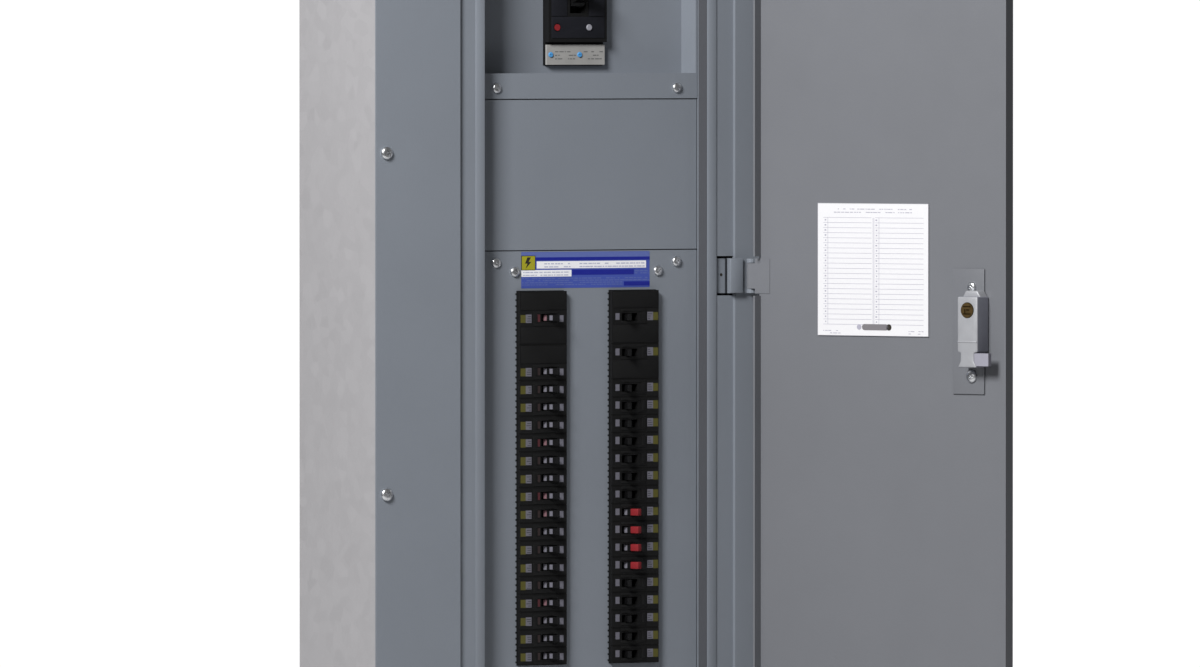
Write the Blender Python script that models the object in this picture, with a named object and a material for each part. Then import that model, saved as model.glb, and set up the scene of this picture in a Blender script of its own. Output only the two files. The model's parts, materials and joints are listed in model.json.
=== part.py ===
"""Lighting panelboard (load centre): steel box, trim, deadfronts, buses, breakers and a hinged door.

Metres, +Z up. The origin is at the centre of the back of the box, which lies on the wall at Y = 0.
The front faces -Y. The door stands open about its hinge axis, and every other piece is in its
switched-on position, apart from four branch breakers that are switched off.
"""
from math import asin, cos, pi, radians, sin

import bmesh
import bpy
from mathutils import Matrix, Vector

GAP = 0.0003

# Box and trim
BOX_WIDTH = 0.508
BOX_HEIGHT = 1.118
FRONT = -0.148
TRIM_SHEET = 0.002
BOX_SHEET = 0.0016
BOX_FLANGE = 0.026
OPENING_X = 0.1284
OPENING_Z = 0.432
LIP_WIDTH = 0.0300
LIP_DEPTH = 0.004
RETURN_DEPTH = 0.021

# Deadfronts
COVER_X = 0.1276
COVER_SHEET = 0.0016
COVER_FACE = -0.125
COVER_EDGE = 0.008
MAIN_PLATE_FACE = -0.099
MAIN_COVER_Z = (0.2190, 0.4310)
LEDGE_TOP = 0.244
BLANK_Z = (0.0703, 0.2180)
BRANCH_Z = (-0.4312, 0.0693)

# Branch breakers
POLE_PITCH = 0.0175
POLES = 21
BANK_TOP = 0.030
BANK_X = (0.0262, 0.0800)
BANK_FACE = -0.131
BANK_BACK = -0.052
SINGLE_POLES = 16
PIVOT_X = 0.0465
PIVOT_Y = -0.125
SLOT_X = (0.0375, 0.0555)
SLOT_DEPTH = 0.0135
TOGGLE_TALL = 0.0064
TOGGLE_REACH = 0.0165
TOGGLE_SWING = radians(20)
OFF_SINGLES = (7, 8, 9, 10)

# Main breaker
MAIN_X = 0.0335
MAIN_Z = (0.252, 0.380)
MAIN_FACE = -0.109
MAIN_BACK = -0.024
MAIN_STEP_Z = 0.2745
MAIN_STEP_FACE = -0.1017
TRIP_COVER_Z = (0.2523, 0.2720)
TRIP_COVER_FACE = -0.1052
MAIN_PIVOT = Vector((0.0, -0.103, 0.316))
MAIN_TOGGLE_TILT = radians(14)
TRIP_BUTTON = Vector((-0.0240, -0.110, 0.289))
TRIP_BUTTON_RADIUS = 0.0032

# Interior
PAN_X = 0.115
PAN_Z = 0.400
PAN_FACE = -0.020
BUS_Z = (-0.345, 0.245)
BUS_BACKS = {"phase_bus_a": -0.041, "phase_bus_b": -0.035, "phase_bus_c": -0.029}
BUS_SECTION = (0.016, 0.003)
FINGER_REACH = 0.048
FINGER_TALL = 0.009

# Door, latch and hinges, given with the door closed
HINGE_AXIS = Vector((0.170, -0.160, 0.0))
DOOR_ANGLE = radians(111.5)
DOOR_X = (-0.150, 0.1565)
DOOR_Z = 0.458
DOOR_FACE = -0.1565
DOOR_SHEET = 0.0019
DOOR_REAR = -0.1445
HINGE_Z = {"hinge_top": 0.385, "hinge_middle": 0.0436, "hinge_bottom": -0.385}
LEAF_TALL = 0.0345
LEAF_SHEET = 0.0025
LEAF_START = 0.134
LEAF_JOG = 0.1525
NOTCH_TALL = 0.039
KNUCKLE_RADIUS = 0.005
PIN_RADIUS = 0.0022
KNUCKLE_TALL = 0.0255
CARD_X = (-0.0505, 0.0842)
CARD_Z = (-0.0140, 0.1164)
LATCH_PLATE_X = (-0.1180, -0.0802)
LATCH_PLATE_Z = (-0.0695, 0.0530)
LATCH_BODY_X = (-0.1226, -0.0985)
LATCH_BODY_Z = (-0.0430, 0.0310)
LATCH_FACE = -0.135
LOCK_CENTRE = (-0.1105, 0.0130)
LOCK_RADIUS = 0.00735
DOOR_LEAF_START = 0.1435
BOLT_Z = (-0.0415, -0.0290)
BOLT_Y = (-0.1411, -0.1361)
BOLT_TIP = -0.1350
BOLT_TRAVEL = 0.008

GREY_PAINT = ((0.16, 0.18, 0.20), 0.45, 0.2)
GALVANIZED = ((0.55, 0.57, 0.58), 0.40, 0.9)
BLACK_MOULDING = ((0.02, 0.02, 0.022), 0.55, 0.0)
GREY_MOULDING = ((0.20, 0.21, 0.22), 0.55, 0.0)
RED_PLASTIC = ((0.45, 0.03, 0.03), 0.45, 0.0)
ALUMINIUM = ((0.75, 0.76, 0.77), 0.35, 1.0)
CAST_METAL = ((0.45, 0.45, 0.46), 0.45, 0.8)
BRASS = ((0.65, 0.48, 0.20), 0.30, 1.0)
CARD_WHITE = ((0.85, 0.85, 0.83), 0.70, 0.0)


def clear_scene():
    for item in list(bpy.data.objects):
        bpy.data.objects.remove(item, do_unlink=True)


def make_collection(name):
    found = bpy.data.collections.get(name) or bpy.data.collections.new(name)
    if found.name not in bpy.context.scene.collection.children:
        bpy.context.scene.collection.children.link(found)
    return found


def finish_material(name, finish):
    colour, roughness, metallic = finish
    material = bpy.data.materials.new(name)
    material.use_nodes = True
    shader = material.node_tree.nodes["Principled BSDF"]
    shader.inputs["Base Color"].default_value = (*colour, 1.0)
    shader.inputs["Roughness"].default_value = roughness
    shader.inputs["Metallic"].default_value = metallic
    return material


def add_object(name, mesh, origin, finish):
    """Put a mesh in the scene as a part, or as a cutter when it has no finish."""
    item = bpy.data.objects.new(name, mesh)
    item.location = origin
    if finish is None:
        cutters.objects.link(item)
        item.hide_render = True
        item.display_type = "WIRE"
    else:
        parts.objects.link(item)
        mesh.materials.append(finish_material(name + "_finish", finish))
    return item


def block(name, x, y, z, finish=None, origin=(0, 0, 0)):
    """A box between the two ends given for each axis, in world coordinates."""
    mesh = bpy.data.meshes.new(name)
    shape = bmesh.new()
    bmesh.ops.create_cube(shape, size=1.0)
    size = Vector((x[1] - x[0], y[1] - y[0], z[1] - z[0]))
    centre = Vector((x[1] + x[0], y[1] + y[0], z[1] + z[0])) / 2 - Vector(origin)
    bmesh.ops.scale(shape, vec=size, verts=shape.verts)
    bmesh.ops.translate(shape, vec=centre, verts=shape.verts)
    shape.to_mesh(mesh)
    shape.free()
    return add_object(name, mesh, origin, finish)


def rod(name, centre, radius, length, axis, finish=None, segments=20):
    """A cylinder centred on its own origin, lying along the axis letter given."""
    mesh = bpy.data.meshes.new(name)
    shape = bmesh.new()
    bmesh.ops.create_cone(shape, cap_ends=True, segments=segments, radius1=radius,
                          radius2=radius, depth=length)
    turns = {"X": Matrix.Rotation(pi / 2, 3, "Y"), "Y": Matrix.Rotation(pi / 2, 3, "X"),
             "Z": Matrix.Identity(3)}
    bmesh.ops.rotate(shape, matrix=turns[axis], verts=shape.verts)
    shape.to_mesh(mesh)
    shape.free()
    mesh.shade_smooth()
    mesh.set_sharp_from_angle(angle=radians(35))
    return add_object(name, mesh, centre, finish)


def combine(target, other, operation):
    modifier = target.modifiers.new(operation.title() + "_" + other.name, "BOOLEAN")
    modifier.operation = operation
    modifier.solver = "EXACT"
    modifier.object = other


def cut(target, x, y, z):
    cutter = block(target.name + "_cut", x, y, z)
    combine(target, cutter, "DIFFERENCE")
    return cutter


def add(target, x, y, z):
    extra = block(target.name + "_add", x, y, z)
    combine(target, extra, "UNION")
    return extra


def both(half):
    return (-half, half)


def mirrored(span, side):
    """A span of positive X, put on the left (side -1) or the right (side +1)."""
    return tuple(sorted((side * span[0], side * span[1])))


def many_blocks(name, boxes):
    """Separate boxes in one mesh, to cut or join in one step."""
    mesh = bpy.data.meshes.new(name)
    shape = bmesh.new()
    for x, y, z in boxes:
        made = bmesh.ops.create_cube(shape, size=1.0)["verts"]
        size = Vector((x[1] - x[0], y[1] - y[0], z[1] - z[0]))
        centre = Vector((x[1] + x[0], y[1] + y[0], z[1] + z[0])) / 2
        bmesh.ops.scale(shape, vec=size, verts=made)
        bmesh.ops.translate(shape, vec=centre, verts=made)
    shape.to_mesh(mesh)
    shape.free()
    return add_object(name, mesh, (0, 0, 0), None)


def prism_mesh(name, outline, width, turn=Matrix.Identity(3)):
    """A flat outline given width, centred on its own plane, then turned."""
    curve = bpy.data.curves.new(name, "CURVE")
    curve.dimensions = "2D"
    curve.fill_mode = "BOTH"
    curve.extrude = width / 2
    spline = curve.splines.new("POLY")
    spline.points.add(len(outline) - 1)
    for point, (across, along) in zip(spline.points, outline):
        point.co = (across, along, 0.0, 1.0)
    spline.use_cyclic_u = True
    guide = bpy.data.objects.new(name + "_guide", curve)
    cutters.objects.link(guide)
    view = bpy.context.evaluated_depsgraph_get()
    mesh = bpy.data.meshes.new_from_object(guide.evaluated_get(view))
    bpy.data.objects.remove(guide, do_unlink=True)
    shape = bmesh.new()
    shape.from_mesh(mesh)
    bmesh.ops.remove_doubles(shape, verts=shape.verts, dist=0.00001)
    bmesh.ops.rotate(shape, matrix=turn, verts=shape.verts)
    bmesh.ops.recalc_face_normals(shape, faces=shape.faces)
    shape.to_mesh(mesh)
    shape.free()
    mesh.name = name
    mesh.materials.clear()
    return mesh


def arc(centre, radius, start, sweep, steps):
    """Points on a circle, from the start angle through the sweep."""
    points = []
    for step in range(steps + 1):
        angle = start + sweep * step / steps
        points.append((centre[0] + radius * cos(angle), centre[1] + radius * sin(angle)))
    return points


def make_box():
    half_x = BOX_WIDTH / 2
    half_z = BOX_HEIGHT / 2
    front = FRONT + TRIM_SHEET + GAP
    box = block("enclosure_box", both(half_x), (front, 0), both(half_z), GALVANIZED)
    inner_x = half_x - BOX_SHEET
    inner_z = half_z - BOX_SHEET
    cut(box, both(inner_x), (front + BOX_SHEET, -BOX_SHEET), both(inner_z))
    mouth_x = half_x - BOX_FLANGE
    mouth_z = half_z - BOX_FLANGE
    cut(box, both(mouth_x), (front - 0.01, -0.06), both(mouth_z))


def make_trim():
    half_x = BOX_WIDTH / 2
    half_z = BOX_HEIGHT / 2
    lip_x = OPENING_X + LIP_WIDTH
    lip_z = OPENING_Z + LIP_WIDTH
    lip_face = FRONT + LIP_DEPTH
    sheet = TRIM_SHEET
    trim = block("trim_front", both(half_x), (FRONT, FRONT + sheet), both(half_z), GREY_PAINT)
    add(trim, both(lip_x + sheet), (FRONT + sheet / 2, lip_face + sheet), both(lip_z + sheet))
    add(trim, both(OPENING_X + sheet), (lip_face + sheet / 2, lip_face + RETURN_DEPTH - sheet),
        both(OPENING_Z + sheet))
    cut(trim, both(lip_x), (FRONT - 0.01, lip_face), both(lip_z))
    cut(trim, both(OPENING_X), (FRONT - 0.02, 0.0), both(OPENING_Z))
    notches = []
    for height in HINGE_Z.values():
        tall = (height - NOTCH_TALL / 2, height + NOTCH_TALL / 2)
        notches.append(((OPENING_X + 0.0111, lip_x), (FRONT - 0.01, lip_face + 0.01), tall))
    combine(trim, many_blocks("trim_notches", notches), "DIFFERENCE")
    strike = (BOLT_Z[0] - 0.0015, BOLT_Z[1] + 0.0015)
    cut(trim, (-OPENING_X - 0.01, -OPENING_X + 0.01), (BOLT_Y[0] - 0.0007, BOLT_Y[1] + 0.0008), strike)


def make_covers():
    rear = COVER_FACE + COVER_EDGE
    main = block("main_deadfront", both(COVER_X), (COVER_FACE - 0.001, MAIN_PLATE_FACE + COVER_SHEET),
                 MAIN_COVER_Z, GREY_PAINT)
    cut(main, both(COVER_X - COVER_SHEET), (FRONT, MAIN_PLATE_FACE),
        (LEDGE_TOP, MAIN_COVER_Z[1] - COVER_SHEET))
    cut(main, both(COVER_X + 0.01), (COVER_FACE - 0.001 + COVER_SHEET, 0.0),
        (MAIN_COVER_Z[0] - 0.01, LEDGE_TOP - COVER_SHEET))
    cut(main, both(MAIN_X + 0.0006), (FRONT, 0.0), (MAIN_Z[0] - 0.0006, MAIN_Z[1] + 0.0006))

    blank = block("blank_plate", both(COVER_X), (COVER_FACE, rear), BLANK_Z, GREY_PAINT)
    cut(blank, both(COVER_X - COVER_SHEET), (COVER_FACE + COVER_SHEET, 0.0),
        (BLANK_Z[0] + COVER_SHEET, BLANK_Z[1] - COVER_SHEET))

    branch = block("branch_deadfront", both(COVER_X), (COVER_FACE, rear), BRANCH_Z, GREY_PAINT)
    cut(branch, both(COVER_X - COVER_SHEET), (COVER_FACE + COVER_SHEET, 0.0),
        (BRANCH_Z[0] + COVER_SHEET, BRANCH_Z[1] - COVER_SHEET))
    bottom = BANK_TOP - POLES * POLE_PITCH
    for side in (-1, 1):
        span = mirrored((BANK_X[0] - 0.0005, BANK_X[1] + 0.0005), side)
        cut(branch, span, (FRONT, 0.0), (bottom - 0.0005, BANK_TOP + 0.0005))


def make_interior():
    pan = block("interior_pan", both(PAN_X), (PAN_FACE, -BOX_SHEET - GAP), both(PAN_Z), GALVANIZED)
    cut(pan, both(PAN_X - 0.002), (PAN_FACE + 0.002, 0.01), both(PAN_Z - 0.002))
    for phase, (name, back) in enumerate(BUS_BACKS.items()):
        bus = block(name, both(BUS_SECTION[0] / 2), (back - BUS_SECTION[1], back), BUS_Z, ALUMINIUM)
        fingers = []
        for pole in range(phase, POLES, len(BUS_BACKS)):
            height = pole_height(pole)
            tall = (height - FINGER_TALL / 2, height + FINGER_TALL / 2)
            fingers.append((both(FINGER_REACH), (back - 0.0028, back - 0.0002), tall))
        combine(bus, many_blocks(name + "_fingers", fingers), "UNION")
    neutral = block("neutral_bar", (-0.112, -0.098), (-0.043, -0.031), (-0.330, 0.000), ALUMINIUM)
    feet = []
    for height in (-0.310, -0.165, -0.020):
        feet.append(((-0.110, -0.100), (-0.040, PAN_FACE - GAP), (height - 0.008, height + 0.008)))
    combine(neutral, many_blocks("neutral_feet", feet), "UNION")


def pole_height(pole):
    """The height of the middle of a pole space, counted from the top."""
    return BANK_TOP - (pole + 0.5) * POLE_PITCH


def breaker_rows(side):
    """(lowest pole, pole count, pole with the toggle) for each breaker in a column."""
    rows = [(0, 3, 1), (3, 2, 4 if side < 0 else 3)]
    rows += [(5 + single, 1, 5 + single) for single in range(SINGLE_POLES)]
    return rows


def lever_mesh(name, hub, base, tip, reach, width, turn):
    """A switch lever: a round hub that runs into a tapered handle."""
    side = asin(base / 2 / hub)
    outline = arc((0, 0), hub, -pi / 2 + side, 2 * pi - 2 * side, 10)
    corner = tip * 0.25
    outline += [(-tip / 2, -reach + corner), (-tip / 2 + corner, -reach)]
    outline += [(tip / 2 - corner, -reach), (tip / 2, -reach + corner)]
    mesh = prism_mesh(name, outline, width, turn)
    mesh.materials.append(finish_material(name + "_finish", BLACK_MOULDING))
    return mesh


def place_lever(name, mesh, origin, rotation):
    lever = bpy.data.objects.new(name, mesh)
    lever.location = origin
    lever.rotation_euler = rotation
    parts.objects.link(lever)


def make_breaker_bank(side_name, side, lever):
    bottom = BANK_TOP - POLES * POLE_PITCH
    bank = block(side_name + "_breaker_bank", mirrored(BANK_X, side), (BANK_FACE, BANK_BACK),
                 (bottom, BANK_TOP), BLACK_MOULDING)
    slots = []
    grooves = []
    for first, count, toggle_pole in breaker_rows(side):
        height = pole_height(toggle_pole)
        tall = (height - 0.0038, height + 0.0038)
        slots.append((mirrored(SLOT_X, side), (BANK_FACE - 0.01, BANK_FACE + SLOT_DEPTH), tall))
        if first:
            seam = BANK_TOP - first * POLE_PITCH
            wide = mirrored((BANK_X[0] - 0.01, BANK_X[1] + 0.01), side)
            grooves.append((wide, (BANK_FACE - 0.01, BANK_FACE + 0.0025), (seam - 0.0003, seam + 0.0003)))
    combine(bank, many_blocks(bank.name + "_slots", slots), "DIFFERENCE")
    combine(bank, many_blocks(bank.name + "_grooves", grooves), "DIFFERENCE")
    for number, (first, count, toggle_pole) in enumerate(breaker_rows(side), 1):
        off = side > 0 and number - 3 in OFF_SINGLES
        turn = side * TOGGLE_SWING if off else -side * TOGGLE_SWING
        place = (side * PIVOT_X, PIVOT_Y, pole_height(toggle_pole))
        place_lever("%s_toggle_%02d" % (side_name, number), lever, place, (0, 0, turn))


def make_branch_breakers():
    lever = lever_mesh("branch_lever", 0.0052, 0.0058, 0.0044, TOGGLE_REACH, TOGGLE_TALL,
                       Matrix.Identity(3))
    make_breaker_bank("left", -1, lever)
    make_breaker_bank("right", 1, lever)


def make_main_breaker():
    case = block("main_breaker_case", both(MAIN_X), (MAIN_FACE, MAIN_BACK), MAIN_Z, BLACK_MOULDING)
    cut(case, both(MAIN_X + 0.01), (FRONT, MAIN_STEP_FACE), (MAIN_Z[0] - 0.01, MAIN_STEP_Z))
    cut(case, both(0.0090), (FRONT, MAIN_PIVOT.y + 0.0095),
        (MAIN_PIVOT.z - 0.0130, MAIN_PIVOT.z + 0.0130))
    hole = rod("trip_hole", (TRIP_BUTTON.x, MAIN_FACE, TRIP_BUTTON.z), TRIP_BUTTON_RADIUS + 0.0004,
               0.020, "Y")
    combine(case, hole, "DIFFERENCE")
    block("main_trip_unit", both(MAIN_X - 0.0003), (TRIP_COVER_FACE, MAIN_STEP_FACE - GAP),
          TRIP_COVER_Z, GREY_MOULDING)
    button_length = 0.0075
    middle = TRIP_BUTTON + Vector((0, button_length / 2, 0))
    rod("push_to_trip_button", middle, TRIP_BUTTON_RADIUS, button_length, "Y", RED_PLASTIC)
    onto_side = Matrix.Rotation(-pi / 2, 3, "Y")
    lever = lever_mesh("main_lever", 0.0078, 0.0090, 0.0070, 0.0280, 0.0150, onto_side)
    place_lever("main_toggle", lever, MAIN_PIVOT, (-MAIN_TOGGLE_TILT, 0, 0))


def make_fixed_hinge(name, height):
    """The trim's hinge leaf: it passes from behind the lip, through the notch, to two knuckles."""
    rear = FRONT + LIP_DEPTH + TRIM_SHEET + GAP
    back = rear + LEAF_SHEET
    raised_back = FRONT - GAP
    raised_front = raised_back - LEAF_SHEET
    end = HINGE_AXIS.x + KNUCKLE_RADIUS + 0.001
    outline = [(LEAF_START, rear), (LEAF_JOG, rear), (LEAF_JOG, raised_front), (end, raised_front)]
    outline += [(end, raised_back), (LEAF_JOG + LEAF_SHEET, raised_back)]
    outline += [(LEAF_JOG + LEAF_SHEET, back), (LEAF_START, back)]
    hinge = add_object(name, prism_mesh(name, outline, LEAF_TALL), (0, 0, height), GREY_PAINT)
    axis = (HINGE_AXIS.x, HINGE_AXIS.y)
    knuckle_tall = (LEAF_TALL - KNUCKLE_TALL) / 2 - 2 * GAP
    foot = raised_back - LEAF_SHEET / 2
    curl = [(axis[0] + KNUCKLE_RADIUS, foot)] + arc(axis, KNUCKLE_RADIUS, 0, -1.75 * pi, 12)
    curl += [(axis[0] + KNUCKLE_RADIUS * 0.4, axis[1] + KNUCKLE_RADIUS * 1.2)]
    curl += [(axis[0] + KNUCKLE_RADIUS * 0.4, foot)]
    for side in (-1, 1):
        middle = height + side * (LEAF_TALL / 2 - GAP - knuckle_tall / 2)
        knuckle = add_object(name + "_knuckle", prism_mesh(name + "_knuckle", curl, knuckle_tall),
                             (0, 0, middle), None)
        combine(hinge, knuckle, "UNION")
    pin = rod(name + "_pin", (*axis, height), PIN_RADIUS, LEAF_TALL * 0.9, "Z", None, 12)
    combine(hinge, pin, "UNION")


def make_door():
    door = block("door", DOOR_X, (DOOR_FACE, DOOR_REAR), both(DOOR_Z), GREY_PAINT)
    inside = DOOR_FACE + DOOR_SHEET
    before = set(cutters.objects)
    within = (DOOR_X[0] + DOOR_SHEET, DOOR_X[1] - DOOR_SHEET)
    cut(door, within, (inside, DOOR_REAR + 0.01), both(DOOR_Z - DOOR_SHEET))
    notches = []
    leaves = []
    for height in HINGE_Z.values():
        tall = (height - NOTCH_TALL / 2, height + NOTCH_TALL / 2)
        notches.append(((DOOR_X[1] - 0.006, DOOR_X[1] + 0.006), (inside, DOOR_REAR + 0.01), tall))
        tall = (height - LEAF_TALL / 2, height + LEAF_TALL / 2)
        leaves.append(((DOOR_LEAF_START, HINGE_AXIS.x - 0.0085), (inside - 0.0016, inside + 0.0006), tall))
    combine(door, many_blocks("door_notches", notches), "DIFFERENCE")
    combine(door, many_blocks("door_leaves", leaves), "UNION")
    tongue_z = KNUCKLE_TALL / 2 - 0.0002
    tongues = []
    for height in HINGE_Z.values():
        tongue = ((HINGE_AXIS.x - 0.0095, HINGE_AXIS.x - 0.0028), (inside - 0.0014, inside + 0.0004))
        tongues.append((*tongue, (height - tongue_z, height + tongue_z)))
    combine(door, many_blocks("door_tongues", tongues), "UNION")
    for height in HINGE_Z.values():
        middle = (HINGE_AXIS.x, HINGE_AXIS.y, height)
        knuckle = rod("door_knuckle", middle, KNUCKLE_RADIUS, 2 * tongue_z, "Z", None, 16)
        combine(door, knuckle, "UNION")
        bore = rod("door_bore", middle, PIN_RADIUS + 0.0004, 2 * KNUCKLE_TALL, "Z", None, 12)
        combine(door, bore, "DIFFERENCE")
    lock_hole = rod("door_lock_hole", (LOCK_CENTRE[0], DOOR_FACE, LOCK_CENTRE[1]), LOCK_RADIUS + 0.0004,
                    0.02, "Y")
    combine(door, lock_hole, "DIFFERENCE")
    return [door] + [item for item in cutters.objects if item not in before]


def make_door_fittings():
    inside = DOOR_FACE + DOOR_SHEET
    before = set(cutters.objects)
    card = block("directory_card", CARD_X, (inside + GAP, inside + 0.0013), CARD_Z, CARD_WHITE)
    latch = block("latch_case", LATCH_PLATE_X, (inside + GAP, inside + 0.0018), LATCH_PLATE_Z, CAST_METAL)
    add(latch, LATCH_BODY_X, (inside + 0.0009, LATCH_FACE), LATCH_BODY_Z)
    pocket_end = LATCH_BODY_X[1] - 0.0018
    cut(latch, (LATCH_BODY_X[0] - 0.01, pocket_end), (BOLT_Y[0] - 0.0004, BOLT_Y[1] + 0.0004),
        (BOLT_Z[0] - 0.0004, BOLT_Z[1] + 0.0004))
    bore = rod("latch_bore", (LOCK_CENTRE[0], LATCH_FACE, LOCK_CENTRE[1]), LOCK_RADIUS + 0.0004, 0.06, "Y")
    combine(latch, bore, "DIFFERENCE")
    bolt = block("latch_bolt", (BOLT_TIP, pocket_end - BOLT_TRAVEL - 0.0007), BOLT_Y, BOLT_Z, CAST_METAL)
    lock_ends = (DOOR_FACE - 0.0015, LATCH_FACE + 0.0008)
    middle = (LOCK_CENTRE[0], sum(lock_ends) / 2, LOCK_CENTRE[1])
    lock = rod("lock_cylinder", middle, LOCK_RADIUS, lock_ends[1] - lock_ends[0], "Y", BRASS)
    return [card, latch, bolt, lock] + [item for item in cutters.objects if item not in before]


def hang_on_door_axis(pieces):
    """Carry pieces made for the closed door to where the open door holds them."""
    axis = bpy.data.objects.new("door_axis", None)
    axis.location = HINGE_AXIS
    axis.rotation_euler = (0, 0, DOOR_ANGLE)
    parts.objects.link(axis)
    for piece in pieces:
        piece.parent = axis
        piece.location = piece.location - HINGE_AXIS


clear_scene()
parts = make_collection("panelboard")
cutters = make_collection("panelboard_cutters")
make_box()
make_trim()
make_covers()
make_interior()
make_branch_breakers()
make_main_breaker()
for hinge_name, hinge_height in HINGE_Z.items():
    make_fixed_hinge(hinge_name, hinge_height)
hang_on_door_axis(make_door() + make_door_fittings())
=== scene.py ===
"""Looks of the lighting panelboard: finishes, screws, labels, breaker details, latch and card.

Metres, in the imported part's frame. Every CAD node keeps its shape and gets a finish. Pieces on the
door are modelled for the closed door and then carried to where the open door holds them.
"""
import json
from math import cos, pi, radians, sin
from random import Random

import bmesh
import bpy
from mathutils import Matrix, Vector


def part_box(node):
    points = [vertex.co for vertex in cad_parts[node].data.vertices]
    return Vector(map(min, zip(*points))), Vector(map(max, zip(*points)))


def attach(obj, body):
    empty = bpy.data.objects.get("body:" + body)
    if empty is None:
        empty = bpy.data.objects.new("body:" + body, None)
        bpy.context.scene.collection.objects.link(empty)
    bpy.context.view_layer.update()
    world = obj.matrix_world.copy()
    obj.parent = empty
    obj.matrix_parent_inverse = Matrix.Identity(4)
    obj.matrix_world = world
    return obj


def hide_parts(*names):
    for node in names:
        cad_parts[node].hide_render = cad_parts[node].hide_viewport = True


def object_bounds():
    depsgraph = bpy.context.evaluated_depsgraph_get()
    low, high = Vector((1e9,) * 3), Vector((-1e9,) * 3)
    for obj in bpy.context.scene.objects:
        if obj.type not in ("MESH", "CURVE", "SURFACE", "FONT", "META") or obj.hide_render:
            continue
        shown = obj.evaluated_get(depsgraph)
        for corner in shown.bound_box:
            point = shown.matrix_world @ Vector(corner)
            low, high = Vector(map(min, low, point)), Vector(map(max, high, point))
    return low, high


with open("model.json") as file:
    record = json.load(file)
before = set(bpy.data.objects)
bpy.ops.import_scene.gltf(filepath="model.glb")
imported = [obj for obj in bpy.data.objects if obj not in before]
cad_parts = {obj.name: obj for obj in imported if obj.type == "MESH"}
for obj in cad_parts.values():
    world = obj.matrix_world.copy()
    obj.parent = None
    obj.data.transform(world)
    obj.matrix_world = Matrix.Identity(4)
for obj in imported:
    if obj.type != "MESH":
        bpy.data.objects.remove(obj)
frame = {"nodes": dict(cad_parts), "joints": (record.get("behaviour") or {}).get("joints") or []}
nodes = frame["nodes"]
cad_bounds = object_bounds()

SCREW_RADIUS = 0.0044
SCREW_TALL = 0.0026
STICKER = 0.00012
POLE_PITCH = 0.0175
POLES = 21
TOGGLES_PER_COLUMN = 18
FLAGGED_TOGGLES = ("01", "06", "09", "15")
OPENING_X = 0.1284
OPENING_Z = 0.432
RIM_WIDTH = 0.0103
LATCH_PLATE_LEFT = -0.1180
LATCH_PLATE_RIGHT = -0.0802
LATCH_SCREW_X = -0.1035
HINGES = ("hinge_top", "hinge_middle", "hinge_bottom")
CAMERA_TARGET = Vector((0.0017, -0.148, -0.0119))
CAMERA_AZIMUTH = radians(-31.45)
CAMERA_ELEVATION = radians(1.14)
CAMERA_DISTANCE = 16.0
CAMERA_LENS = 488.1

joints = {joint["name"]: joint for joint in frame["joints"]}
HINGE_AXIS = Vector(joints["door_hinge"]["pos_m"])
DOOR_ANGLE = radians(-joints["door_hinge"]["range_deg"][0])
DOOR_TURN = (Matrix.Translation(HINGE_AXIS) @ Matrix.Rotation(DOOR_ANGLE, 4, "Z")
             @ Matrix.Translation(-HINGE_AXIS))


# ---------------------------------------------------------------- materials

def start_material(name, colour, roughness, metallic=0.0):
    material = bpy.data.materials.new(name)
    material.use_nodes = True
    shader = material.node_tree.nodes["Principled BSDF"]
    shader.inputs["Base Color"].default_value = (*colour, 1.0)
    shader.inputs["Roughness"].default_value = roughness
    shader.inputs["Metallic"].default_value = metallic
    return material, shader


def add_node(material, kind, **values):
    node = material.node_tree.nodes.new(kind)
    for key, value in values.items():
        if key in node.inputs:
            node.inputs[key].default_value = value
        else:
            setattr(node, key, value)
    return node


def link(material, source, target):
    material.node_tree.links.new(source, target)


def pattern(material, kind, scale, **values):
    """A texture in metres of the object's own space."""
    place = add_node(material, "ShaderNodeTexCoord")
    texture = add_node(material, kind, Scale=scale, **values)
    link(material, place.outputs["Object"], texture.inputs["Vector"])
    return texture


def ramp(material, source, low, high):
    """Maps a 0 to 1 texture onto a range of values."""
    spread = add_node(material, "ShaderNodeMapRange")
    spread.inputs["To Min"].default_value = low
    spread.inputs["To Max"].default_value = high
    link(material, source, spread.inputs["Value"])
    return spread.outputs["Result"]


def vary_colour(material, shader, source, dark, light):
    mix = add_node(material, "ShaderNodeMix", data_type="RGBA")
    colour_a = [socket for socket in mix.inputs if socket.name == "A" and socket.type == "RGBA"][0]
    colour_b = [socket for socket in mix.inputs if socket.name == "B" and socket.type == "RGBA"][0]
    colour_a.default_value = (*dark, 1.0)
    colour_b.default_value = (*light, 1.0)
    link(material, source, mix.inputs["Factor"])
    result = [socket for socket in mix.outputs if socket.type == "RGBA"][0]
    link(material, result, shader.inputs["Base Color"])


def bump(material, shader, source, strength, distance):
    relief = add_node(material, "ShaderNodeBump", Strength=strength, Distance=distance)
    link(material, source, relief.inputs["Height"])
    link(material, relief.outputs["Normal"], shader.inputs["Normal"])


def scaled(colour, factor):
    return tuple(channel * factor for channel in colour)


def paint(name, colour):
    """Powder coat: fine orange peel, faint mottling and uneven gloss."""
    material, shader = start_material(name, colour, 0.42)
    shader.inputs["Specular IOR Level"].default_value = 0.45
    clouds = pattern(material, "ShaderNodeTexNoise", 7.0, Detail=5.0)
    vary_colour(material, shader, clouds.outputs["Fac"], scaled(colour, 0.93), scaled(colour, 1.07))
    peel = pattern(material, "ShaderNodeTexNoise", 420.0, Detail=2.0)
    bump(material, shader, peel.outputs["Fac"], 0.22, 0.0004)
    gloss = pattern(material, "ShaderNodeTexNoise", 40.0, Detail=4.0)
    link(material, ramp(material, gloss.outputs["Fac"], 0.36, 0.50), shader.inputs["Roughness"])
    return material


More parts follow.
